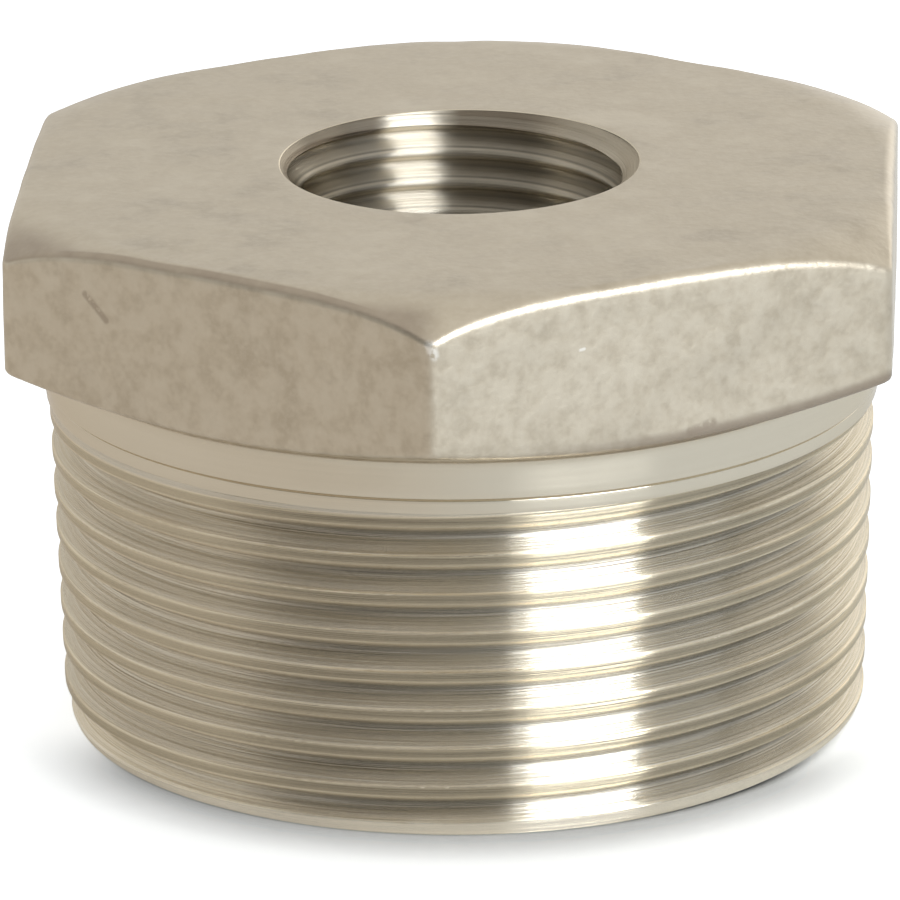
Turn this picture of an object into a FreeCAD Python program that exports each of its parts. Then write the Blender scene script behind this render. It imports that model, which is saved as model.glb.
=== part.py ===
import FreeCAD, Part
import math
import os

# Hexagon reducing bushing, one casting, machined where it is threaded
# Frame: Z is the axis of both threads, Z = 0 is the free end of the male thread
# The hexagon has corners towards -Y and +Y. Sizes are in millimetres, angles in degrees

# Male taper thread, 55 degree form, 11 turns to the inch, right-hand
male_pitch = 25.4 / 11
male_major_radius = 47.803 / 2
gauge_height = 12.7            # where the major radius holds
taper_angle = 1.79             # one in sixteen on the diameter
flank_angle = 27.5
crest_turned_off = 0.265       # radius turned off the rounded crests
root_rounding = 0.317
end_chamfer_drop = 0.65
end_chamfer_height = 1.0
front_groove_height = 8.48     # middle of one groove where it crosses the -Y side
runout_turns = 0.35            # the tool leaves the metal over this part of a turn
runout_below_ring = 0.8        # from the ring down to where the tool starts to leave
groove_clearance = 0.2         # how far the cutting profile stands out of the crests
samples_per_turn = 24

# Turned ring and collar between the male thread and the head
ring_step = 0.1546
ring_length = 0.75
tool_line_depth = 0.12
tool_line_width = 0.2
collar_step = 0.2
collar_length = 2.2
collar_fillet = 0.6

# Hexagon head
overall_height = 32.6
flat_margin = 0.8              # flats outside the collar, which makes 50 across flats
flat_height = 9.7226           # at the middle of a flat, from its lower to its upper edge
top_face_inset = 0.84          # from the middle of a flat in to where the top face is level
top_crown_radius = 7.0         # the top face falls away to the corners in this arc
top_crown_turn = 50.0          # the arc's turn, more than the corners need
underside_angle = 20.0
corner_rounding = 0.9          # the upright edges
upper_edge_rounding = 0.7
lower_edge_rounding = 0.5

# Female parallel thread, 14 turns to the inch, at its minor size
female_minor_radius = 18.631 / 2
female_mouth_radius = 10.68
female_length = 17.0
female_end_chamfer = 1.1

# Cored recess in the male end
recess_wall = 4.4              # left between the recess and the bottom of the male thread
recess_draft_angle = 2.0
recess_shoulder_angle = 15.0
recess_rounding = 1.5
recess_edge_chamfer = 0.4


def slope(angle):
    return math.tan(math.radians(angle))


# Thread form, worked out from the pitch
sharp_height = male_pitch / 2 / slope(flank_angle)
crest_flat = 2 * slope(flank_angle) * (sharp_height / 6 + crest_turned_off)
groove_half_width = (male_pitch - crest_flat) / 2
root_half_width = root_rounding * math.cos(math.radians(flank_angle))
flank_depth = (groove_half_width - root_half_width) / slope(flank_angle)
root_depth = flank_depth + root_rounding * (1 - math.sin(math.radians(flank_angle)))


def crest_radius(height):
    return male_major_radius - crest_turned_off + (height - gauge_height) * slope(taper_angle)


# Heights and radii that follow from the sizes above
crown_corner = top_crown_radius * slope(top_crown_turn / 2) - top_face_inset
crown_drop = top_crown_radius - math.sqrt(top_crown_radius ** 2 - top_face_inset ** 2)
flat_top = overall_height - crown_drop
underside = flat_top - flat_height
collar_top = underside - flat_margin * slope(underside_angle)
collar_low = collar_top - collar_length
ring_high = collar_low - tool_line_width
ring_low = ring_high - ring_length
runout_low = ring_low - runout_below_ring
ring_radius = crest_radius(ring_low) + ring_step
collar_radius = ring_radius + collar_step
flat_radius = collar_radius + flat_margin
corner_radius = flat_radius / math.cos(math.radians(30))
thread_end = overall_height - female_length
recess_radius = crest_radius(0) - root_depth - recess_wall


def rounded_corner(before, corner, after, radius):
    """Start, middle and end of the arc that rounds one corner of a profile."""
    towards_before = (before - corner).normalize()
    towards_after = (after - corner).normalize()
    half_angle = towards_before.getAngle(towards_after) / 2
    tangent = radius / math.tan(half_angle)
    bisector = (towards_before + towards_after).normalize()
    start = corner + towards_before * tangent
    middle = corner + bisector * (radius / math.sin(half_angle) - radius)
    end = corner + towards_after * tangent
    return [start, middle, end]


def revolved(corners):
    """Solid turned from a closed profile of (radius, height, rounding) corners."""
    points = [FreeCAD.Vector(radius, 0, height) for radius, height, rounding in corners]
    stretches = []
    for index, (radius, height, rounding) in enumerate(corners):
        after = points[(index + 1) % len(points)]
        if rounding:
            stretches.append(rounded_corner(points[index - 1], points[index], after, rounding))
        else:
            stretches.append([points[index]])
    edges = []
    for index, stretch in enumerate(stretches):
        if len(stretch) == 3:
            edges.append(Part.Arc(*stretch).toShape())
        following = stretches[(index + 1) % len(stretches)]
        edges.append(Part.LineSegment(stretch[-1], following[0]).toShape())
    face = Part.Face(Part.Wire(edges))
    return face.revolve(FreeCAD.Vector(0, 0, 0), FreeCAD.Vector(0, 0, 1), 360)


def hexagon_prism():
    corners = []
    for index in range(7):
        angle = math.radians(90 + 60 * index)
        corners.append(FreeCAD.Vector(math.cos(angle), math.sin(angle), 0) * corner_radius)
    prism = Part.Face(Part.makePolygon(corners)).extrude(FreeCAD.Vector(0, 0, overall_height))
    upright = [edge for edge in prism.Edges if edge.BoundBox.ZLength > overall_height / 2]
    return prism.makeFillet(corner_rounding, upright)


def head():
    """Hexagon between a shallow cone below and a crowned face above, with all its edges rounded."""
    beyond_crown = top_crown_radius
    rim = flat_radius + crown_corner + beyond_crown
    blank = revolved([
        (0, collar_top, 0),
        (collar_radius, collar_top, 0),
        (rim, underside + (rim - flat_radius) * slope(underside_angle), 0),
        (rim, overall_height - beyond_crown * slope(top_crown_turn), 0),
        (flat_radius + crown_corner, overall_height, top_crown_radius),
        (0, overall_height, 0),
    ])
    hexagon = blank.common(hexagon_prism())
    upper_edges = []
    lower_edges = []
    for edge in hexagon.Edges:
        nearest = min(math.hypot(point.x, point.y) for point in edge.discretize(5))
        if nearest < flat_radius - 0.01 or edge.BoundBox.ZLength > flat_height / 2:
            continue
        if edge.BoundBox.ZMin > underside + flat_height / 2:
            upper_edges.append(edge)
        else:
            lower_edges.append(edge)
    hexagon = hexagon.makeFillet(lower_edge_rounding, lower_edges)
    return hexagon.makeFillet(upper_edge_rounding, upper_edges)


def shank():
    """Taper body of the male thread with its ring and collar, up into the head."""
    return revolved([
        (0, 0, 0),
        (crest_radius(0) - end_chamfer_drop, 0, 0),
        (crest_radius(end_chamfer_height), end_chamfer_height, 0),
        (crest_radius(ring_low), ring_low, 0),
        (ring_radius, ring_low, 0),
        (ring_radius, ring_high, 0),
        (ring_radius - tool_line_depth, (ring_high + collar_low) / 2, 0),
        (collar_radius, collar_low, 0),
        (collar_radius, underside, 0),
        (0, underside, 0),
    ])


def filled_body():
    """Shank and head in one, with the fillet where the collar meets the head."""
    body = shank().fuse(head()).removeSplitter()
    seat = []
    for edge in body.Edges:
        box = edge.BoundBox
        if box.ZLength < 0.001 and abs(box.ZMin - collar_top) < 0.001 and box.XMax > ring_radius:
            seat.append(edge)
    return body.makeFillet(collar_fillet, seat)


def passage():
    """What is drilled and cored out: the female thread's hole and the recess below it."""
    mouth_chamfer = female_mouth_radius - female_minor_radius
    drill_end_radius = female_minor_radius + female_end_chamfer
    beyond = 1.0
    reach = recess_radius - thread_end * slope(recess_draft_angle)
    shoulder_low = thread_end - (reach - drill_end_radius) * slope(recess_shoulder_angle)
    return revolved([
        (0, overall_height + beyond, 0),
        (female_mouth_radius + beyond, overall_height + beyond, 0),
        (female_minor_radius, overall_height - mouth_chamfer, 0),
        (female_minor_radius, thread_end + female_end_chamfer, 0),
        (drill_end_radius, thread_end, 0),
        (reach, shoulder_low, recess_rounding),
        (recess_radius, recess_edge_chamfer, 0),
        (recess_radius + recess_edge_chamfer + beyond, -beyond, 0),
        (0, -beyond, 0),
    ])


def groove_section(turn):
    """Corners of the thread tool's profile at a turn, from its upper edge down to its lower edge."""
    height = front_groove_height + male_pitch * (turn + 0.25)
    past_full_depth = max(0, height - runout_low) / (male_pitch * runout_turns)
    lift = (root_depth + groove_clearance) * past_full_depth ** 2
    base = crest_radius(height) + lift
    mouth_half_width = groove_half_width + groove_clearance * slope(flank_angle)
    corners = [
        (groove_clearance, mouth_half_width),
        (-flank_depth, root_half_width),
        (-root_depth, 0),
        (-flank_depth, -root_half_width),
        (groove_clearance, -mouth_half_width),
    ]
    angle = 2 * math.pi * turn
    outwards = FreeCAD.Vector(math.cos(angle), math.sin(angle), 0)
    return [outwards * (base + depth) + FreeCAD.Vector(0, 0, height + rise) for depth, rise in corners]


def rail(points, parameters):
    curve = Part.BSplineCurve()
    curve.interpolate(Points=points, Parameters=parameters)
    return curve


def strip(one, other):
    """Face swept straight across between two rails that share their knots."""
    surface = Part.BSplineSurface()
    surface.buildFromPolesMultsKnots(
        [one.getPoles(), other.getPoles()],
        [2, 2],
        one.getMultiplicities(),
        [0, 1],
        one.getKnots(),
        False,
        False,
        1,
        one.Degree,
    )
    return surface.toShape()


def end_cap(section):
    return Part.Face(Part.makePolygon(section + section[:1]))


def thread_groove():
    """The metal that the thread tool takes out: a helical solid, its faces split at each turn."""
    first_turn = -(front_groove_height + male_pitch) / male_pitch - 0.25
    last_turn = (runout_low - front_groove_height) / male_pitch - 0.25 + runout_turns
    turns = last_turn - first_turn
    count = math.ceil(turns * samples_per_turn)
    parameters = [index / count for index in range(count + 1)]
    sections = [groove_section(first_turn + turns * value) for value in parameters]
    rails = [rail([section[corner] for section in sections], parameters) for corner in range(5)]
    faces = [end_cap(sections[0]), end_cap(sections[-1])]
    pieces = math.ceil(turns)
    for piece in range(pieces):
        spans = [curve.copy() for curve in rails]
        for curve in spans:
            curve.segment(piece / pieces, (piece + 1) / pieces)
        for index in range(5):
            faces.append(strip(spans[index - 1], spans[index]))
    shell = Part.makeShell(faces)
    shell.sewShape()
    groove = Part.makeSolid(shell)
    if groove.Volume < 0:
        groove.reverse()
    return groove


bushing = filled_body().cut(passage()).cut(thread_groove()).Solids[0]
print("bushing valid", bushing.isValid(), "volume", round(bushing.Volume / 1000, 2), "cm3")
print("across flats", round(2 * flat_radius, 3), "thread depth", round(root_depth, 3))
os.makedirs("parts", exist_ok=True)
bushing.exportStep("parts/bushing.step")
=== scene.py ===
import bmesh
import bpy
import math
from mathutils import Matrix, Vector, noise


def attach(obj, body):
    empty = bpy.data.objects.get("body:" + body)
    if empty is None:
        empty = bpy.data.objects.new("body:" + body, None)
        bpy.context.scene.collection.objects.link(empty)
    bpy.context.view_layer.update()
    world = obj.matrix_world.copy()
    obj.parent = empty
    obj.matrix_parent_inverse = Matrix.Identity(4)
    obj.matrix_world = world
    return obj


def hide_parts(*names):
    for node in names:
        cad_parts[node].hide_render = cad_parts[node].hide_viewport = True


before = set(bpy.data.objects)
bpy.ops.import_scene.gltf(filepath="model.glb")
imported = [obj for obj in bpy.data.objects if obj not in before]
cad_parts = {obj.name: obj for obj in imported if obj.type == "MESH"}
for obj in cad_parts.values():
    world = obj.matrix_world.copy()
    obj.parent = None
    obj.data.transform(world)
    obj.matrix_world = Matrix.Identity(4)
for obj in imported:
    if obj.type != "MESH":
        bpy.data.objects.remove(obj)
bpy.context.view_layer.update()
mm = 0.001
print("frame loaded:", len(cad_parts), "node")


# Sizes in millimetres, angles in degrees. What the solid has too is the same, but for two that say so
# Z is the axis of both threads, Z = 0 the male thread's free end, and corners point to -Y and +Y
bushing = {
    "height": 32.6,
    "flatRadius": 25.0,
    "cornerRounding": 0.9,
    "levelRadius": 24.16,          # the top face falls away outside this radius
    "crownRadius": 7.0,
    "underside": 22.8268,          # at the middle of a flat
    "undersideAngle": 20.0,
    "upperEdge": 0.7,
    "lowerEdge": 0.5,
    "collarRadius": 24.2,
    "collarLow": 20.3356,
    "collarTop": 22.5356,
    "collarFillet": 0.6,
    "ringRadius": 24.0,
    "ringLow": 19.3856,
    "ringHigh": 20.1356,
    "ringEdge": 0.05,
    "toolLineDepth": 0.12,
    "toolLineEdge": 0.04,
    "mouthRadius": 10.35,          # nearer to the photograph than the solid's 10.68
    "mouthEdge": 0.12,
    "threadEnd": 15.6,
    "drillEndRadius": 10.4155,
    "recessMouth": 17.63,
    "recessTop": 17.081,
    "recessShoulder": 13.814,
    "recessRounding": 1.5,
    "recessEdge": 0.4,
    "castWave": 0.06,              # how uneven the cast skin is
    "castLump": 2.6,               # and how far it is from one lump to the next
    "browWave": 0.12,              # how uneven the upper edge is
    "browLump": 3.0,
    "browInside": 21.0,            # radius and height where its unevenness starts
    "browBelow": 27.0,
    "browFade": 3.0,               # and how far from there it is full
    "columnsPerFlat": 30,
    "columnsPerCorner": 6,
    "sharpAngle": 38.0,            # edges that turn more than this are shaded sharp
}
maleThread = {
    "pitch": 25.4 / 11,
    "gaugeRadius": 47.803 / 2 - 0.265,
    "gaugeHeight": 12.7,
    "taper": 1.79,
    "flank": 27.5,
    "crestFlat": 0.6607,
    "rootRounding": 0.317,
    "frontGroove": 8.48,           # middle of one groove on the -Y side
    "endDrop": 0.40,               # nearer to the photograph than the solid's 0.65
    "endChamfer": 1.0,
    "runoutLow": 18.5856,
    "runoutTurns": 0.35,
    "toolClearance": 0.2,
    "edgeSoftness": 0.13,
    "edgeDepth": 0.03,             # how far below the crest its bright edge lies
    "edgeWidth": 0.1,
    "burr": 0.035,
    "burrLump": 0.9,
}
femaleThread = {
    "pitch": 25.4 / 14,
    "minorRadius": 18.631 / 2,
    "majorRadius": 20.955 / 2,
    "flank": 27.5,
    "frontGroove": 1.25,
    "edgeSoftness": 0.26,
    "edgeDepth": 0.04,
    "edgeWidth": 0.15,
    "rows": [0.13, 0.27, 0.48, 0.66, 0.76, 0.83],  # from a groove's middle to each row of points
}


def slope(degrees):
    return math.tan(math.radians(degrees))


def fade(past, width):
    # 0 before a start, and 1 once past it by the width
    return min(1, max(0, past / width))


def ripple(x, y, z, size):
    # slow unevenness from 0 to 1, with lumps about one size across
    return 0.5 + 0.5 * noise.noise(Vector((x, y, z)) / size)


def hexagonColumns(b):
    # columns run up the whole bushing: each has an angle and the hexagon's radius there
    columns = []
    corner = b["flatRadius"] / math.cos(math.radians(30))
    centre = corner - b["cornerRounding"] / math.sin(math.radians(60))
    reach = b["flatRadius"] * slope(30) - b["cornerRounding"] * slope(30)
    for flat in range(6):
        middle = math.radians(60 * flat)
        for step in range(b["columnsPerFlat"] + 1):
            along = reach * (2 * step / b["columnsPerFlat"] - 1)
            turn = middle + math.atan2(along, b["flatRadius"])
            columns.append((turn, math.hypot(along, b["flatRadius"])))
        for step in range(1, b["columnsPerCorner"]):
            turn = math.radians(60 * step / b["columnsPerCorner"] - 30)
            x = centre + b["cornerRounding"] * math.cos(turn)
            y = b["cornerRounding"] * math.sin(turn)
            columns.append((middle + math.radians(30) + math.atan2(y, x), math.hypot(x, y)))
    return columns


def arc(before, corner, after, radius, steps):
    # points of the arc that rounds one corner of a profile
    before, corner, after = Vector(before), Vector(corner), Vector(after)
    one = (before - corner).normalized()
    other = (after - corner).normalized()
    half = one.angle(other) / 2
    middle = corner + (one + other).normalized() * (radius / math.sin(half))
    start = corner + one * (radius / math.tan(half)) - middle
    end = corner + other * (radius / math.tan(half)) - middle
    points = []
    for step in range(steps + 1):
        part = step / steps
        points.append(tuple(middle + (start * (1 - part) + end * part).normalized() * radius))
    return points


def straight(start, end, steps):
    # points inside a straight run, without its ends
    points = []
    for step in range(1, steps):
        points.append(tuple(start[i] + (end[i] - start[i]) * step / steps for i in (0, 1)))
    return points


def ringProfile(b):
    # the ring, the tool's line above it and the foot of the collar, as (radius, height)
    low = (b["ringRadius"], b["ringLow"])
    high = (b["ringRadius"], b["ringHigh"])
    toolLine = (b["ringRadius"] - b["toolLineDepth"], (b["ringHigh"] + b["collarLow"]) / 2)
    foot = (b["collarRadius"], b["collarLow"])
    seat = (b["collarRadius"], b["collarTop"])
    further = (b["ringRadius"] - 0.5, b["ringLow"])
    profile = arc(further, low, high, b["ringEdge"], 2)
    profile += straight(profile[-1], high, 3)
    profile += arc(low, high, toolLine, b["toolLineEdge"], 2) + [toolLine]
    return profile + arc(toolLine, foot, seat, b["toolLineEdge"], 2)


def browProfile(b, hexRadius):
    # the edge's circle touches the flat and the crown's circle
    crown, edge = b["crownRadius"], b["upperEdge"]
    lean = math.asin((hexRadius - edge - b["levelRadius"]) / (crown - edge))
    edgeHeight = b["height"] - crown + (crown - edge) * math.cos(lean)
    steps = 7
    profile = []
    for step in range(steps + 1):
        turn = (math.pi / 2 - lean) * step / steps
        profile.append((hexRadius - edge * (1 - math.cos(turn)), edgeHeight + edge * math.sin(turn)))
    for step in range(1, steps + 1):
        turn = lean * (1 - step / steps)
        drop = crown * (1 - math.cos(turn))
        profile.append((b["levelRadius"] + crown * math.sin(turn), b["height"] - drop))
    return profile


def headProfile(b, angle, hexRadius):
    # from the collar up round the hexagon to the rim of the mouth
    foot = (b["collarRadius"], b["collarLow"])
    seat = (b["collarRadius"], b["collarTop"])
    low = (hexRadius, b["underside"] + (hexRadius - b["flatRadius"]) * slope(b["undersideAngle"]))
    rim = (b["mouthRadius"], b["height"])
    insideMouth = (b["mouthRadius"] - 1, b["height"] - 1)  # down its chamfer of 45 degrees
    fillet = arc(foot, seat, low, b["collarFillet"], 4)
    lowArc = arc(seat, low, (hexRadius, b["height"]), b["lowerEdge"], 5)
    brow = browProfile(b, hexRadius)
    rimArc = arc(brow[-1], rim, insideMouth, b["mouthEdge"], 3)
    profile = straight((b["collarRadius"], b["collarLow"] + b["ringEdge"]), fillet[0], 4) + fillet
    profile += straight(fillet[-1], lowArc[0], 4) + lowArc
    profile += straight(lowArc[-1], brow[0], 13) + brow
    profile += straight(brow[-1], rimArc[0], 18) + rimArc
    return [browDip(b, angle, *point) for point in profile]


def recessProfile(b):
    # from the end of the bore down the cored recess to its edge
    start = (b["drillEndRadius"], b["threadEnd"])
    shoulder = (b["recessTop"], b["recessShoulder"])
    mouth = (b["recessMouth"], b["recessEdge"])
    corner = arc(start, shoulder, mouth, b["recessRounding"], 5)
    return straight(start, corner[0], 4) + corner + straight(corner[-1], mouth, 8) + [mouth]


def browDip(b, angle, radius, z):
    # the upper edge runs a little unevenly round the hexagon
    x, y = b["flatRadius"] * math.cos(angle), b["flatRadius"] * math.sin(angle)
    dip = b["browWave"] * ripple(x, y, 0, b["browLump"])
    outside = fade(radius - b["browInside"], b["browFade"])
    return radius, z - dip * outside * fade(z - b["browBelow"], b["browFade"])


def castDip(b, angle, radius, z):
    # the cast skin lies a little below the true surface, which returns at the collar and the mouth
    dip = b["castWave"] * ripple(radius * math.cos(angle), radius * math.sin(angle), z, b["castLump"])
    onSide = fade(radius - b["collarRadius"], 0.5)
    onTop = fade(z - b["height"] + 2, 1.5) * fade(radius - b["mouthRadius"] - 0.3, 2)
    return radius - dip * onSide, z - dip * onTop


def softMin(a, b, softness):
    near = max(softness - abs(a - b), 0) / softness
    return min(a, b) - near * near * softness / 4


def maleRadius(t, angle, z):
    # radius of the male thread's surface, and how near that is to the edge of a crest
    crest = t["gaugeRadius"] + (z - t["gaugeHeight"]) * slope(t["taper"])
    tip = t["gaugeRadius"] - t["gaugeHeight"] * slope(t["taper"]) - t["endDrop"]
    chamfer = tip + z / t["endChamfer"] * (t["endDrop"] + t["endChamfer"] * slope(t["taper"]))
    halfMouth = (t["pitch"] - t["crestFlat"]) / 2
    halfRoot = t["rootRounding"] * math.cos(math.radians(t["flank"]))
    flankDepth = (halfMouth - halfRoot) / slope(t["flank"])
    rootCentre = flankDepth - t["rootRounding"] * math.sin(math.radians(t["flank"]))
    rootDepth = rootCentre + t["rootRounding"]
    turn = angle / (2 * math.pi) + 0.25
    nearest = round((z - t["frontGroove"]) / t["pitch"] - turn)
    wall = crest
    for groove in (nearest - 1, nearest, nearest + 1):
        middle = t["frontGroove"] + t["pitch"] * (turn + groove)
        past = max(0, middle - t["runoutLow"]) / (t["pitch"] * t["runoutTurns"])
        if past > 1.2:             # the tool is clear of the metal there
            continue
        offset = abs(z - middle)
        if offset > halfRoot:
            depth = (halfMouth - offset) / slope(t["flank"])
        else:
            depth = rootCentre + math.sqrt(t["rootRounding"] ** 2 - offset ** 2)
        lift = (rootDepth + t["toolClearance"]) * past ** 2
        wall = softMin(wall, crest - depth + lift, t["edgeSoftness"])
    edge = 0
    if crest - wall > 0.0005:      # the crest itself has no edge
        edge = max(0, 1 - abs(crest - wall - t["edgeDepth"]) / t["edgeWidth"])
    x, y = crest * math.cos(angle), crest * math.sin(angle)
    wall -= t["burr"] * edge * ripple(x, y, z, t["burrLump"])
    return min(wall, chamfer), edge


def femaleRadius(t, b, angle, z):
    # radius of the bore's surface, and how near that is to the edge of a crest
    depthToApex = t["pitch"] / 2 / slope(t["flank"]) / 6
    apex = t["majorRadius"] + depthToApex
    turn = angle / (2 * math.pi) + 0.25
    nearest = round((z - t["frontGroove"]) / t["pitch"] - turn)
    offset = abs(z - t["frontGroove"] - t["pitch"] * (turn + nearest))
    vee = apex - offset / slope(t["flank"])
    softness = t["edgeSoftness"]
    wall = -softMin(-softMin(vee, t["majorRadius"], softness), -t["minorRadius"], softness)
    mouth = b["mouthRadius"] - (b["height"] - z)
    leadOut = b["drillEndRadius"] - (z - b["threadEnd"])
    edge = max(0, 1 - abs(wall - t["minorRadius"] - t["edgeDepth"]) / t["edgeWidth"])
    return max(min(wall, t["majorRadius"]), t["minorRadius"], mouth, leadOut), edge


def turnRows(rows, pitch):
    # rows of points over one turn of a thread, as heights above the middle of its groove
    return [-row for row in reversed(rows)] + [0] + rows + [pitch / 2]


class Skin:
    # gathers rows of points into one closed mesh, with a material number for each stretch
    def __init__(self, columns):
        self.columns = columns
        self.points = []
        self.edges = []
        self.faces = []
        self.finish = []
        self.last = None

    def addPoint(self, angle, radius, z, edge=0):
        self.points.append((radius * math.cos(angle) * mm, radius * math.sin(angle) * mm, z * mm))
        self.edges.append(edge)
        return len(self.points) - 1

    def addRow(self, pairs, finish):
        # pairs are (radius, height), one for each column
        row = [self.addPoint(column[0], *pair) for column, pair in zip(self.columns, pairs)]
        if self.last:
            self.join(self.last, row, row[0], self.last[0], finish)
        self.last = row

    def addProfile(self, profile, finish):
        # the same (radius, height) points in every column
        for point in profile:
            self.addRow([point] * len(self.columns), finish)

    def join(self, low, high, highEnd, lowEnd, finish):
        count = len(self.columns)
        for index in range(count):
            nextLow = low[index + 1] if index + 1 < count else lowEnd
            nextHigh = high[index + 1] if index + 1 < count else highEnd
            self.faces.append((low[index], nextLow, nextHigh, high[index]))
            self.finish.append(finish)

    def addThread(self, t, offsets, low, high, radiusAt, finish, downwards=False):
        # rows follow the helix, with turns to spare, and those beyond the ends are folded onto them
        perTurn = len(offsets)
        firstTurn = math.floor((low - t["frontGroove"]) / t["pitch"]) - 3
        lastTurn = math.ceil((high - t["frontGroove"]) / t["pitch"]) + 2
        rows = []
        for turn in range(firstTurn, lastTurn + 1):
            for offset in offsets:
                row = []
                for angle, hexRadius in self.columns:
                    rise = t["pitch"] * (turn + angle / (2 * math.pi) + 0.25)
                    z = min(max(t["frontGroove"] + rise + offset, low), high)
                    radius, edge = radiusAt(angle, z)
                    row.append(self.addPoint(angle, radius, z, edge))
                rows.append(row)
        for index in range(len(rows) - 1):
            wrapLow = rows[min(index + perTurn, len(rows) - 1)][0]
            wrapHigh = rows[min(index + 1 + perTurn, len(rows) - 1)][0]
            if downwards:
                self.join(rows[index + 1], rows[index], wrapLow, wrapHigh, finish)
            else:
                self.join(rows[index], rows[index + 1], wrapHigh, wrapLow, finish)
        self.last = rows[0] if downwards else rows[-1]

    def build(self, name, materials, sharpAngle):
        mesh = bpy.data.meshes.new(name)
        mesh.from_pydata(self.points, [], self.faces)
        for material in materials:
            mesh.materials.append(material)
        mesh.polygons.foreach_set("material_index", self.finish)
        mesh.attributes.new("brightEdge", "FLOAT", "POINT").data.foreach_set("value", self.edges)
        work = bmesh.new()
        work.from_mesh(mesh)
        bmesh.ops.remove_doubles(work, verts=work.verts, dist=1e-7)  # folded rows become one
        bmesh.ops.dissolve_degenerate(work, edges=work.edges, dist=1e-8)
        work.to_mesh(mesh)
        work.free()
        mesh.shade_smooth()
        mesh.set_sharp_from_angle(angle=math.radians(sharpAngle))
        piece = bpy.data.objects.new(name, mesh)
        bpy.context.collection.objects.link(piece)
        return piece


# Shader maths
class Wire:
    # wraps an output socket, so that shader maths reads as plain arithmetic
    def __init__(self, tree, socket=None):
        self.tree = tree
        self.socket = socket

    def node(self, kind, settings=None, inputs=None, output=0):
        made = self.tree.nodes.new("ShaderNode" + kind)
        for key, value in (settings or {}).items():
            if key == "stops":
                ramp = made.color_ramp.elements
                ramp[0].position, ramp[0].color = value[0]
                ramp[1].position, ramp[1].color = value[-1]
                for position, colour in value[1:-1]:
                    ramp.new(position).color = colour
            else:
                setattr(made, key, value)
        for key, value in (inputs or {}).items():
            if isinstance(value, Wire):
                self.tree.links.new(value.socket, made.inputs[key])
            else:
                made.inputs[key].default_value = value
        return Wire(self.tree, made.outputs[output])

    def maths(self, operation, one, other=0.0, clamp=False):
        return self.node("Math", {"operation": operation, "use_clamp": clamp}, {0: one, 1: other})

    def vector(self, operation, one, other, output=0):
        return self.node("VectorMath", {"operation": operation}, {0: one, 1: other}, output)

    def part(self, axis, vector):
        return self.node("SeparateXYZ", None, {0: vector}, "XYZ".index(axis))

    def __add__(self, other):
        return self.maths("ADD", self, other)

    def __sub__(self, other):
        return self.maths("SUBTRACT", self, other)

    def __rsub__(self, other):
        return self.maths("SUBTRACT", other, self)

    def __mul__(self, other):
        return self.maths("MULTIPLY", self, other)

    def __truediv__(self, other):
        return self.maths("DIVIDE", self, other)

    def __pow__(self, other):
        return self.maths("POWER", self, other)

    __radd__ = __add__
    __rmul__ = __mul__

    def between(self, none, full):
        # 0 up to none, 1 from full on, and smooth from one to the other, in either direction
        return self.node("MapRange", {"interpolation_type": "SMOOTHSTEP"},
                         {"Value": self, "From Min": none, "From Max": full})


def mixColour(wire, factor, one, other, blend="MIX"):
    return wire.node("Mix", {"data_type": "RGBA", "blend_type": blend}, {0: factor, 6: one, 7: other}, 2)


def noiseOf(wire, vector, scale, detail=2.0, rough=0.5):
    inputs = {"Vector": vector, "Scale": scale, "Detail": detail, "Roughness": rough}
    return wire.node("TexNoise", None, inputs)


def scar(wire, place, start, end, width):
    # 1 along a short line on the surface, 0 beyond width from it
    along = Vector(end) - Vector(start)
    offset = wire.vector("SUBTRACT", place, start)
    part = wire.vector("DOT_PRODUCT", offset, along / along.length_squared, 1)
    part = wire.maths("ADD", part, 0.0, clamp=True)
    nearest = wire.node("VectorMath", {"operation": "SCALE"}, {0: along, "Scale": part})
    distance = wire.vector("DISTANCE", offset, nearest, 1)
    return distance.between(width, width * 0.3)


class Finish:
    # a new material with its surface places in millimetres
    def __init__(self, name):
        self.material = bpy.data.materials.new(name)
        self.material.use_nodes = True
        tree = self.material.node_tree
        self.shader = tree.nodes["Principled BSDF"]
        self.wire = Wire(tree)
        coordinates = self.wire.node("TexCoord", None, None, "Object")
        self.place = self.wire.node("VectorMath", {"operation": "SCALE"}, {0: coordinates, "Scale": 1 / mm})
        self.x, self.y, self.z = [self.wire.part(axis, self.place) for axis in "XYZ"]
        self.radius = (self.x * self.x + self.y * self.y) ** 0.5

    def tilted(self, lean):
        # the surface's normal, leaned up or down along the axis and never sideways
        normal = self.wire.node("NewGeometry", None, None, "Normal")
        around = self.wire.node("Tangent", {"direction_type": "RADIAL", "axis": "Z"})
        upwards = self.wire.vector("CROSS_PRODUCT", normal, around)
        leaned = self.wire.node("VectorMath", {"operation": "MULTIPLY_ADD"}, {0: upwards, 1: lean, 2: normal})
        return self.wire.node("VectorMath", {"operation": "NORMALIZE"}, {0: leaned})

    def finish(self, colour, roughness, height, bumpDistance, normal=None, **plain):
        if bumpDistance:
            inputs = {"Height": height, "Distance": bumpDistance * mm, "Strength": 1.0}
            if normal:
                inputs["Normal"] = normal
            normal = self.wire.node("Bump", None, inputs)
        links = self.material.node_tree.links
        links.new(colour.socket, self.shader.inputs["Base Color"])
        links.new(roughness.socket, self.shader.inputs["Roughness"])
        links.new(normal.socket, self.shader.inputs["Normal"])
        self.shader.inputs["Metallic"].default_value = 1.0
        for key, value in plain.items():
            self.shader.inputs[key].default_value = value
        return self.material


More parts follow.
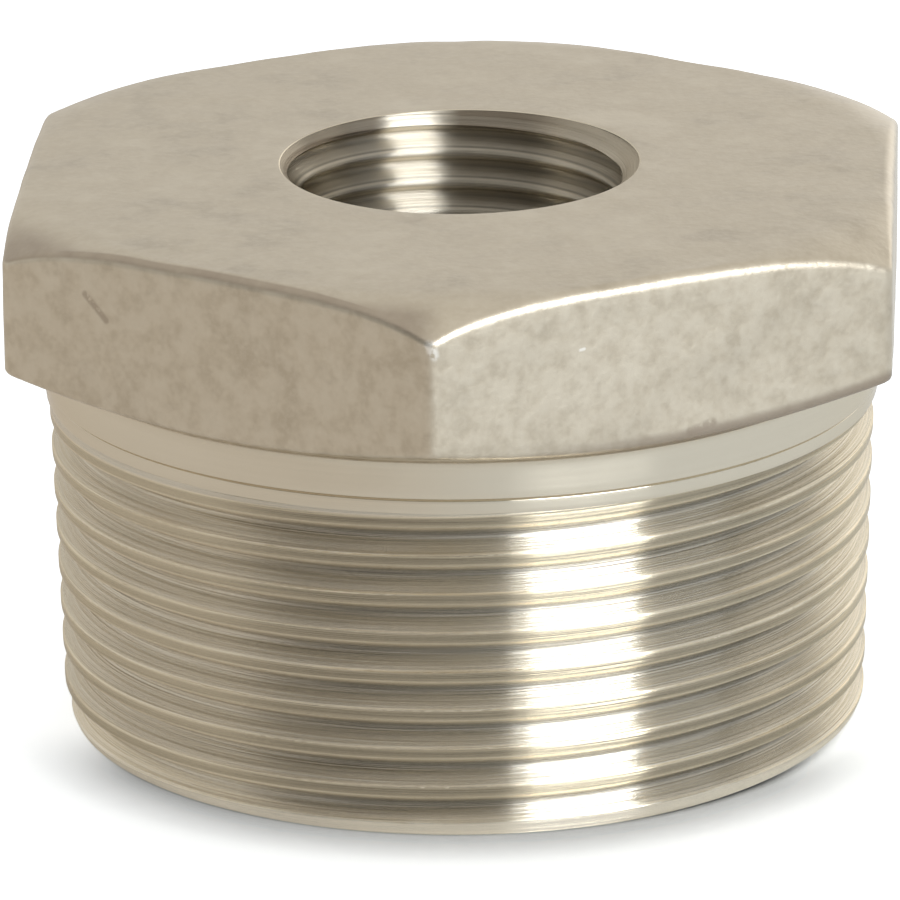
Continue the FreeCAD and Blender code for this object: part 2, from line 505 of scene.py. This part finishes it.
castLook = {
    "colour": (0.572, 0.497, 0.376, 1),
    "pale": (0.660, 0.590, 0.465, 1),
    "stain": (0.470, 0.402, 0.298, 1),
    # the next colour is painted shade on the underside and the upper edge, and also the colour of the dark
    # nicks
    "under": (0.330, 0.265, 0.200, 1),
    "bright": (0.93, 0.89, 0.80, 1),
    "roughness": 0.40,
    "grainSize": 0.45,             # millimetres, as the two below
    "mottleSize": 1.3,
    "blotchSize": 5.0,
    "grainHeight": 0.5,            # shares of the bump
    "mottleHeight": 0.8,
    "bumpDepth": 0.035,
    "blotchRoughness": 0.16,
    "mottleRoughness": 0.08,
    "levelMottle": 0.7,            # how much weaker the mottle is on level faces
    # where each layer starts and where it is full, in levels of its noise, and its strength
    "paleBlotches": (0.52, 0.72, 0.6),
    "stainedBlotches": (0.47, 0.30, 0.7),
    "paleMottle": (0.42, 0.66, 0.45),
    "stainedMottle": (0.52, 0.30, 0.5),
    "paleGrain": (0.35, 0.75, 0.35),
    "underShare": 0.8,             # how strongly the painted shade and the marks show
    "darkShare": 0.6,
    "brightShare": 0.7,
    # nicks and scratches: start, end and width in millimetres
    "darkMarks": [
        ((13.9, -20.8, 23.30), (15.1, -20.15, 23.60), 0.40),
        ((24.1, -15.0, 31.00), (24.8, -14.5, 31.20), 0.22),
        ((21.3, -16.6, 23.40), (22.8, -15.7, 23.95), 0.13),
        ((-20.0, -17.3, 29.90), (-18.8, -18.0, 28.60), 0.30),
    ],
    "brightMarks": [
        ((-0.1, -28.7, 30.70), (0.2, -28.8, 30.15), 0.45),
        ((7.95, -24.3, 29.10), (8.15, -24.1, 29.14), 0.14),
    ],
}


def castSkin(look, b):
    f = Finish("castSkin")
    w = f.wire
    level = w.part("Z", w.node("NewGeometry", None, None, "Normal"))
    upright = 1 - level.between(0.3, 0.9) * look["levelMottle"]
    blotch = noiseOf(w, f.place, 1 / look["blotchSize"], 3.0, 0.6)
    mottle = noiseOf(w, f.place, 1 / look["mottleSize"], 2.0, 0.65)
    grain = noiseOf(w, f.place, 1 / look["grainSize"], 2.0, 0.6)

    def layer(texture, name):
        none, full, strength = look[name]
        return texture.between(none, full) * strength

    colour = mixColour(w, layer(blotch, "paleBlotches"), look["colour"], look["pale"])
    colour = mixColour(w, layer(blotch, "stainedBlotches"), colour, look["stain"])
    colour = mixColour(w, layer(mottle, "paleMottle") * upright, colour, look["pale"])
    colour = mixColour(w, layer(mottle, "stainedMottle") * upright, colour, look["stain"])
    colour = mixColour(w, layer(grain, "paleGrain"), colour, look["pale"])
    # painted shade: the underside and the edge above it are darker on the right, where the photograph shows
    # them so
    above = f.z - b["underside"] - (f.radius - b["flatRadius"]) * slope(b["undersideAngle"])
    low = above.between(0.85, 0.35) * f.x.between(3.0, 15.0)
    low = low * (f.z - b["collarTop"] + 1).between(0.4, 0.9)
    colour = mixColour(w, low * look["underShare"], colour, look["under"])
    # painted shade on the upper edge on the left too
    brow = level.between(0.30, 0.60) * level.between(0.995, 0.90)
    brow = brow * f.x.between(1.0, -1.5) * f.y.between(-9.0, -14.0)
    colour = mixColour(w, brow * (0.45 + mottle * 0.5), colour, look["under"])
    torn = grain.between(0.30, 0.50)
    for mark in look["darkMarks"]:
        shown = scar(w, f.place, *mark) * torn * look["darkShare"]
        colour = mixColour(w, shown, colour, look["under"])
    for mark in look["brightMarks"]:
        shown = scar(w, f.place, *mark) * torn * look["brightShare"]
        colour = mixColour(w, shown, colour, look["bright"])
    roughness = look["roughness"] + (blotch - 0.5) * look["blotchRoughness"]
    roughness = roughness + (mottle - 0.5) * look["mottleRoughness"]
    height = grain * look["grainHeight"] + mottle * look["mottleHeight"]
    return f.finish(colour, roughness, height, look["bumpDepth"])


malePaintedShading = {
    # painted highlights and shade along the thread: share of the pitch from a groove's middle, level, and
    # warmth of its colour
    "front": [
        (0.00, 0.56, -0.3), (0.05, 0.60, -0.3), (0.11, 0.90, -0.3), (0.20, 1.15, 0.0), (0.29, 1.25, 0.2),
        (0.34, 1.32, 0.1), (0.37, 1.05, 0.3), (0.41, 0.72, 0.5), (0.48, 0.56, 0.5), (0.56, 0.64, 0.5),
        (0.60, 0.88, 0.5), (0.63, 1.30, 0.2), (0.65, 1.38, 0.0), (0.68, 1.12, -0.3), (0.80, 1.12, -0.4),
        (0.90, 1.06, -0.4), (0.96, 0.70, -0.4), (1.00, 0.56, -0.4),
    ],
    "side": [
        (0.00, 1.10, -0.3), (0.10, 1.20, -0.3), (0.25, 1.30, -0.2), (0.33, 1.38, 0.0), (0.37, 1.20, 0.2),
        (0.42, 0.76, 0.5), (0.56, 0.74, 0.5), (0.61, 0.92, 0.5), (0.64, 1.10, 0.2), (0.68, 1.00, -0.2),
        (0.85, 1.00, -0.3), (1.00, 1.10, -0.3),
    ],
    # the sides are painted lighter: x where the side's shading starts to give way to the front's, and where
    # it has
    "left": (-12.0, -4.0),
    "right": (24.0, 18.0),
}
# painted highlights and shade along the bore's thread
femalePaintedShading = {
    "front": [
        (0.00, 0.90, 0.0), (0.10, 0.78, 0.0), (0.17, 1.05, 0.0), (0.31, 1.05, 0.0), (0.35, 0.62, 0.0),
        (0.39, 1.20, 0.0), (0.44, 0.85, 0.0), (0.56, 0.80, 0.0), (0.61, 1.15, 0.0), (0.65, 0.55, 0.0),
        (0.69, 1.00, 0.0), (0.82, 1.05, 0.0), (0.90, 0.72, 0.0), (1.00, 0.90, 0.0),
    ],
}
turnedLook = {
    "colour": (0.650, 0.580, 0.450, 1),
    "pale": (0.770, 0.705, 0.570, 1),
    "leastPale": 0.14,
    "linePale": 0.12,
    # the share of painted highlight along the edges of the crests
    "paintedEdgeHighlight": 0.3,
    "grazing": (0.86, 0.82, 0.75, 1),
    "anisotropy": 1.0,
    "roughness": 0.25,
    "lineSize": 0.11,              # millimetres from one turning line to the next
    "lineRun": 0.04,               # how fast a line changes along its own run
    "fineLineSize": 0.008,
    "fineLineRun": 0.1,
    "fineHeight": 0.7,             # shares of the bump
    "broadHeight": 0.5,
    "chatterSize": 3.0,
    "chatter": 0.06,
}
allRound = (-99, -98)
# lean says how steep the finest lines are, and lineDepth how deep the others are, in millimetres
# patches of painted light and shade: height where each starts and is full, x the same, and the colour
collarLook = dict(turnedLook, roughness=0.165, lean=0.3, lineDepth=0.002)
threadLook = dict(
    turnedLook,
    lean=4.4,
    lineDepth=0,
    thread=maleThread,
    paintedShading=malePaintedShading,
    # the end chamfer is painted lighter
    lightAndShadePatches=[(1.15, 0.90, *allRound, (0.86, 0.79, 0.65, 1))],
)
boreLook = dict(
    turnedLook,
    # painted shade: the bore's colours are darker than those of the other turned metal
    colour=(0.560, 0.500, 0.392, 1),
    pale=(0.660, 0.600, 0.490, 1),
    roughness=0.35,
    lean=4.0,
    lineDepth=0.001,
    thread=femaleThread,
    paintedShading=femalePaintedShading,
    lightAndShadePatches=[
        # painted shade on the mouth's chamfer: dark brown but for the strip where the highlight falls, and
        # less dark towards the right
        (31.44, 31.64, -4.6, -5.6, (0.28, 0.232, 0.172, 1)),
        (31.44, 31.64, -1.4, -0.4, (0.28, 0.232, 0.172, 1)),
        (31.44, 31.64, 2.5, 8.5, (0.50, 0.440, 0.340, 1)),
    ],
)


def helixShare(f, t):
    # 0 in the middle of a groove, 0.5 in the middle of a crest and 1 in the next groove up
    turn = f.wire.maths("ARCTAN2", f.y, f.x) / (2 * math.pi)
    return f.wire.maths("FRACT", (f.z - t["frontGroove"]) / t["pitch"] - turn - 0.25)


def threadLevel(f, share, paintedShading):
    # painted highlights and shade along a thread; a ramp's colours end at 1, so it holds half of each level
    def ramp(stops):
        colours = []
        for at, level, warmth in stops:
            red, blue = 0.5 + 0.04 * warmth, 0.5 - 0.09 * warmth
            colours.append((at, (level * red, level * 0.5, level * blue, 1)))
        return f.wire.node("ValToRGB", {"stops": colours}, {0: share})

    level = ramp(paintedShading["front"])
    if "side" in paintedShading:
        shown = f.x.between(*paintedShading["left"]) * f.x.between(*paintedShading["right"])
        level = mixColour(f.wire, shown, ramp(paintedShading["side"]), level)
    return mixColour(f.wire, 1.0, level, (2, 2, 2, 1), "MULTIPLY")


def turned(name, look):
    # turning lines run round the axis, or along the thread
    f = Finish(name)
    w = f.wire
    across = f.z
    if "thread" in look:
        share = helixShare(f, look["thread"])
        across = share * look["thread"]["pitch"]
    across = across + f.radius * 2

    def stretchedAlong(run, size):
        return w.node("CombineXYZ", None, {0: f.x * run, 1: f.y * run, 2: across / size})

    lines = stretchedAlong(look["lineRun"], look["lineSize"])
    fine = noiseOf(w, lines, 0.5, 2.0, 0.7)
    broad = noiseOf(w, w.vector("MULTIPLY", lines, (1.5, 1.5, 0.12)), 0.5, 2.0)
    chatter = noiseOf(w, f.place, 1 / look["chatterSize"], 1.0)
    edge = w.node("Attribute", {"attribute_name": "brightEdge"}, None, "Fac")
    pale = look["leastPale"] + fine.between(0.3, 0.7) * look["linePale"]
    pale = pale + broad.between(0.4, 0.8) * look["linePale"]
    colour = mixColour(w, pale, look["colour"], look["pale"])
    # painted highlights and shade along the thread
    if "paintedShading" in look:
        colour = mixColour(w, 1.0, colour, threadLevel(f, share, look["paintedShading"]), "MULTIPLY")
    # patches of painted light and shade
    for noneZ, fullZ, noneX, fullX, tint in look.get("lightAndShadePatches", []):
        colour = mixColour(w, f.z.between(noneZ, fullZ) * f.x.between(noneX, fullX), colour, tint)
    # painted highlight: paler along the edges of the crests
    colour = mixColour(w, edge * look["paintedEdgeHighlight"], colour, look["pale"])
    roughness = look["roughness"] + (chatter - 0.5) * look["chatter"]
    height = fine * look["fineHeight"] + broad * look["broadHeight"]
    finest = stretchedAlong(look["fineLineRun"], look["fineLineSize"])
    normal = f.tilted((noiseOf(w, finest, 0.5, 1.0) - 0.5) * look["lean"])
    plain = {
        "Anisotropic": look["anisotropy"],
        "Anisotropic Rotation": 0.25,
        "Specular Tint": look["grazing"],
    }
    return f.finish(colour, roughness, height, look["lineDepth"], normal, **plain)


skinMaterial = castSkin(castLook, bushing)
turnedMaterial = turned("turnedCollar", collarLook)
threadMaterial = turned("cutThread", threadLook)
boreMaterial = turned("cutBore", boreLook)
print("materials made")


def makeBushing(b, male, female):
    # walked from the recess out over the end face, up the outside, down the bore and back
    columns = hexagonColumns(b)
    angles = [column[0] for column in columns]
    skin = Skin(columns)
    cast, collar, thread, bore = 0, 1, 2, 3
    edgeRadius = b["recessMouth"] + b["recessEdge"]
    skin.addProfile([(edgeRadius, 0)], collar)
    rims = [maleRadius(male, angle, 0)[0] for angle in angles]
    for step in (1, 2, 3, 4):
        skin.addRow([(edgeRadius + (rim - edgeRadius) * step / 4, 0) for rim in rims], collar)
    # more rows lie about the crest's edge
    halfMouth = (male["pitch"] - male["crestFlat"]) / 2
    rows = [0.17, 0.2812, 0.55] + [halfMouth + past for past in (-0.07, -0.022, 0.022, 0.07)]
    offsets = turnRows(rows, male["pitch"])
    skin.addThread(male, offsets, 0, b["ringLow"], lambda angle, z: maleRadius(male, angle, z), thread)
    skin.addProfile(ringProfile(b), collar)
    profiles = [headProfile(b, *column) for column in columns]
    count = len(profiles[0])
    for index in range(count):
        pairs = [castDip(b, angle, *profile[index]) for angle, profile in zip(angles, profiles)]
        machined = index < 6 or index > count - 4  # up to the fillet, and round the mouth's rim
        skin.addRow(pairs, collar if machined else cast)
    offsets = turnRows(female["rows"], female["pitch"])
    rimHeight = profiles[0][-1][1]
    skin.addThread(female, offsets, b["threadEnd"], rimHeight,
                   lambda angle, z: femaleRadius(female, b, angle, z), bore, downwards=True)
    skin.addProfile(recessProfile(b) + [(edgeRadius, 0)], cast)
    materials = [skinMaterial, turnedMaterial, threadMaterial, boreMaterial]
    return skin.build("bushingSkin", materials, b["sharpAngle"])


body = makeBushing(bushing, maleThread, femaleThread)
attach(body, "root")
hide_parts("bushing")
print("bushing made:", len(body.data.polygons), "faces")


# The stage, the light and the camera stand as in the photograph. Lengths in metres, angles in degrees
studio = {
    "turn": 3.393,                 # from the photograph's frame to the solid's
    "floorSize": 2.4,
    "floorGap": 0.00001,           # the floor lies just below the end face
    "floorLeft": (0.76, 0.72, 0.70, 1),
    "floorRight": (0.95, 0.97, 0.98, 1),
    "glowLeft": (0.185, 0.180, 0.170, 1),
    "glowRight": (0.185, 0.22, 0.275, 1),
    "floorSides": (-0.05, 0.05),   # x from the left's colours to the right's
    "seenColour": (0.945, 0.975, 1, 1),  # the floor as the camera sees it, and its glow
    "seenGlow": (0.97, 0.99, 1, 1),
    "cameraGlow": 0.32,
    "cameraWhite": 1.5,
    "contact": 0.0060,             # how far the shadow before the bushing reaches
    "contactPower": 1.4,
    "besideRange": (0.65, 0.20),   # it is full towards the camera, and gone towards the sides
    "worldLevel": 0.735,
    "aboveLevel": 0.85,
    "frontLevel": 0.195,           # the room behind the camera is darker
    "frontAzimuth": 281.0,
    "sideLobes": [(57, 0.92), (125, 0.12)],  # azimuth and added level of its lighter parts
    # the lamp's panels: from and to side, from and to rise, strength
    "panels": [
        (9, 25.2, 6, 14, 3.0),
        (9, 25.2, 14, 28, 9.0),
        (9, 25.2, 28, 46, 11.0),
        (6.5, 9, 6, 46, 3.0),
        (25.2, 40, 4, 46, 0.66),
    ],
    "panelSteps": 8,
    "panelDistance": 0.60,
    "lampColour": (0.93, 0.98, 1.06, 1),
}
toSolid = Matrix.Rotation(math.radians(studio["turn"]), 4, "Z")


def placed(name, points, faces, material):
    mesh = bpy.data.meshes.new(name)
    mesh.from_pydata(points, [], faces)
    mesh.materials.append(material)
    thing = bpy.data.objects.new(name, mesh)
    bpy.context.collection.objects.link(thing)
    return thing


def makeFloor(s):
    material = bpy.data.materials.new("whiteFloor")
    material.use_nodes = True
    material.cycles.emission_sampling = "NONE"  # its glow is faint, and the lamp needs the rays
    tree = material.node_tree
    w = Wire(tree)

    def whiteUnder(colour, glowColour, strength):
        matt = w.node("BsdfDiffuse", None, {"Color": colour})
        glow = w.node("Emission", None, {"Color": glowColour, "Strength": strength})
        return w.node("AddShader", None, {0: matt, 1: glow})

    place = w.node("TexCoord", None, None, "Object")
    toRight = w.part("X", place).between(*s["floorSides"])
    sides = mixColour(w, toRight, s["floorLeft"], s["floorRight"])
    sidesGlow = mixColour(w, toRight, s["glowLeft"], s["glowRight"])
    towards = w.node("VectorMath", {"operation": "NORMALIZE"}, {0: place})
    beside = (w.part("Y", towards) * -1).between(*s["besideRange"])
    near = w.node("AmbientOcclusion", {"samples": 2}, {"Distance": s["contact"]}, "AO") ** s["contactPower"]
    near = near + (1 - near) * beside
    white = [s["cameraWhite"] * part for part in s["seenColour"]]
    pale = mixColour(w, near, (0, 0, 0, 1), white)
    glow = mixColour(w, near, (0, 0, 0, 1), s["seenGlow"])
    seen = w.node("LightPath", None, None, "Is Camera Ray")
    inputs = {0: seen, 1: whiteUnder(sides, sidesGlow, 1.0), 2: whiteUnder(pale, glow, s["cameraGlow"])}
    shader = w.node("MixShader", None, inputs)
    # from underneath the floor is clear, so the recess can be seen
    below = w.node("NewGeometry", None, None, "Backfacing")
    shader = w.node("MixShader", None, {0: below, 1: shader, 2: w.node("BsdfTransparent")})
    tree.links.new(shader.socket, tree.nodes["Material Output"].inputs["Surface"])
    half = s["floorSize"] / 2
    z = -s["floorGap"]
    corners = [(-half, -half, z), (half, -half, z), (half, half, z), (-half, half, z)]
    placed("floor", corners, [(0, 1, 2, 3)], material)


def makeWorld(s):
    world = bpy.data.worlds.new("studio")
    world.use_nodes = True
    tree = world.node_tree
    w = Wire(tree)
    direction = w.node("TexCoord", None, None, "Generated")
    rise = w.part("Z", direction)

    def facing(azimuth):
        # 1 straight towards an azimuth of the photograph's frame, 0 square to it
        azimuth = math.radians(azimuth + s["turn"])
        ahead = (math.cos(azimuth), math.sin(azimuth), 0)
        return w.vector("DOT_PRODUCT", direction, ahead, 1)

    dark = facing(s["frontAzimuth"]).between(0.0, 0.40)
    dark = dark * rise.between(-0.02, 0.06) * rise.between(0.90, 0.60)
    level = s["worldLevel"] + rise.between(0.4, 0.9) * (s["aboveLevel"] - s["worldLevel"])
    level = level - dark * (s["worldLevel"] - s["frontLevel"])
    for azimuth, added in s["sideLobes"]:
        level = level + facing(azimuth).between(0.80, 1.0) * added
    seen = w.node("LightPath", None, None, "Is Camera Ray")
    strength = level * (1 - seen) + seen
    tree.links.new(strength.socket, tree.nodes["Background"].inputs["Strength"])
    tree.nodes["Background"].inputs["Color"].default_value = (1, 1, 1, 1)
    bpy.context.scene.world = world


def mirrored(side, rise, lift):
    # where turning lines mirror at a rise, on a face turned side degrees to the camera's right
    side, rise = math.radians(side), math.radians(rise)
    azimuth = side - math.acos(math.cos(lift) * math.sin(side) / math.cos(rise))
    return Vector((math.cos(rise) * math.cos(azimuth), math.cos(rise) * math.sin(azimuth), math.sin(rise)))


def makePanels(s, lift):
    # a tall lamp whose sides follow what the turned metal mirrors, so its highlight has straight sides
    steps = s["panelSteps"]
    faces = [(2 * step, 2 * step + 1, 2 * step + 3, 2 * step + 2) for step in range(steps)]
    for number, (fromSide, toSide, fromRise, toRise, strength) in enumerate(s["panels"]):
        corners = []
        for step in range(steps + 1):
            rise = fromRise + (toRise - fromRise) * step / steps
            for side in (fromSide, toSide):
                corners.append(toSolid @ (mirrored(side, rise, lift) * s["panelDistance"]))
        material = bpy.data.materials.new("lamp" + str(number))
        material.use_nodes = True
        tree = material.node_tree
        glow = Wire(tree).node("Emission", None, {"Color": s["lampColour"], "Strength": strength})
        tree.links.new(glow.socket, tree.nodes["Material Output"].inputs["Surface"])
        panel = placed("panel" + str(number), corners, faces, material)
        panel.visible_camera = False
        panel.visible_diffuse = False  # it draws the metal's highlight and leaves the floor's shadow soft


view = {
    "lens": 373.9,                 # millimetres, as the sensor's width
    "sensorWidth": 36,
    "elevation": 18.566,
    "roll": 0.598,
    "distance": 0.5414,
    "targetX": -0.00072,
    "targetZ": 0.01511,
}


def makeCamera(v):
    data = bpy.data.cameras.new("camera")
    data.lens = v["lens"]
    data.sensor_width = v["sensorWidth"]
    data.clip_start, data.clip_end = 0.01, 20
    camera = bpy.data.objects.new("camera", data)
    bpy.context.collection.objects.link(camera)
    e, r = math.radians(v["elevation"]), math.radians(v["roll"])
    back = Vector((0, -math.cos(e), math.sin(e)))
    right = Vector((1, 0, 0))
    up = Vector((0, math.sin(e), math.cos(e)))
    turnedRight = right * math.cos(r) - up * math.sin(r)
    turnedUp = right * math.sin(r) + up * math.cos(r)
    towardsView = Matrix((turnedRight, turnedUp, back)).transposed().to_4x4()
    place = Vector((v["targetX"], 0, v["targetZ"])) + back * v["distance"]
    camera.matrix_world = toSolid @ Matrix.Translation(place) @ towardsView
    bpy.context.scene.camera = camera


makeFloor(studio)
makeWorld(studio)
makePanels(studio, math.radians(view["elevation"]))
makeCamera(view)
bpy.context.scene.view_settings.view_transform = "Standard"
bpy.context.scene.cycles.max_bounces = 4
bpy.context.scene.cycles.diffuse_bounces = 2
bpy.context.scene.cycles.glossy_bounces = 3
print("stage, lights and camera set")
